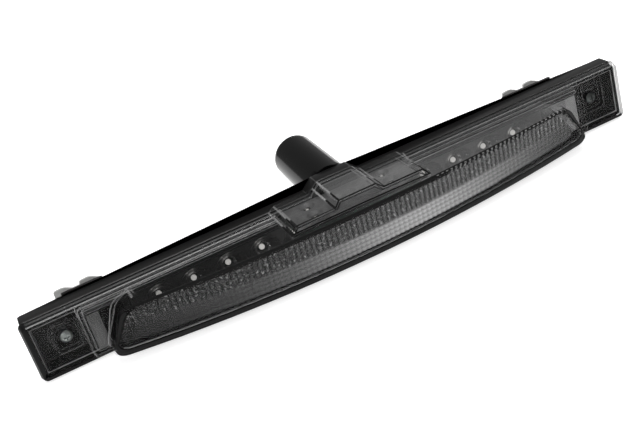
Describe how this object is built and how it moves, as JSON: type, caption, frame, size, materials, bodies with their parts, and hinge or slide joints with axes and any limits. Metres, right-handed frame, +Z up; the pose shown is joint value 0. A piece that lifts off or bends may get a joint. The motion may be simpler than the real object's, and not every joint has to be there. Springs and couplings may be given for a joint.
{
  "type": "third brake light",
  "caption": "Long high-mounted third brake light with a clear bowed and ribbed lens, black housing, rear wiring spout and two spring clips.",
  "frame": {"origin": "middle of the plane where the foam gasket meets the body panel", "axes": "+X along the lamp, +Z up the lens plate, -Y out of the lens, +Y into the vehicle"},
  "size_m": [0.434, 0.1252, 0.052],
  "materials": {
    "clear_lens": "clear, polished",
    "prism": "clear, ribbed",
    "black_plastic": "satin to glossy",
    "rubber": "matte",
    "reflector": "metallised",
    "board": "solder mask",
    "emitter": "satin",
    "chip": "matte",
    "tinned": "tinned",
    "zinc": "zinc plated",
    "clip": "matte"
  },
  "bodies": {
    "lamp": {"rear_housing": "black_plastic", "outer_lens": "clear_lens", "lower_border": "black_plastic", "prism_lens": "prism", "inner_bezel": "black_plastic", "main_reflector": "reflector", "crown_reflector": "reflector", "lens_seal": "rubber", "panel_gasket": "rubber", "wiring_spout": "black_plastic", "connector_body": "black_plastic", "terminal_pin_1": "tinned", "terminal_pin_2": "tinned", "terminal_pin_3": "tinned", "vent_cap_left": "rubber", "vent_cap_right": "rubber", "main_board": "board", "led_01": "emitter", "led_02": "emitter", "led_03": "emitter", "led_04": "emitter", "led_05": "emitter", "led_06": "emitter", "led_07": "emitter", "led_08": "emitter", "led_09": "emitter", "led_10": "emitter", "led_11": "emitter", "led_12": "emitter", "crown_board": "board", "crown_led_1": "emitter", "crown_led_2": "emitter", "crown_led_3": "emitter", "crown_led_4": "emitter", "crown_led_5": "emitter", "crown_led_6": "emitter", "resistor_1": "chip", "resistor_2": "chip", "resistor_3": "chip", "resistor_4": "chip", "driver_chip": "chip", "input_diode": "chip", "board_screw_1": "zinc", "board_screw_2": "zinc", "board_screw_3": "zinc", "board_screw_4": "zinc", "mounting_screw_left": "zinc", "mounting_screw_right": "zinc"},
    "clip_left": {"spring_clip_left": "clip"},
    "clip_right": {"spring_clip_right": "clip"}
  },
  "joints": [
    {"name": "clip_left_flex", "type": "hinge", "parent": "lamp", "child": "clip_left", "pos_m": [-0.175, 0.0032, 0.0063], "axis": [-1, 0, 0], "range_deg": [0, 8], "stiffness_Nm_per_rad": 0.6},
    {"name": "clip_right_flex", "type": "hinge", "parent": "lamp", "child": "clip_right", "pos_m": [0.162, 0.0032, 0.0063], "axis": [-1, 0, 0], "range_deg": [0, 8], "stiffness_Nm_per_rad": 0.6}
  ]
}
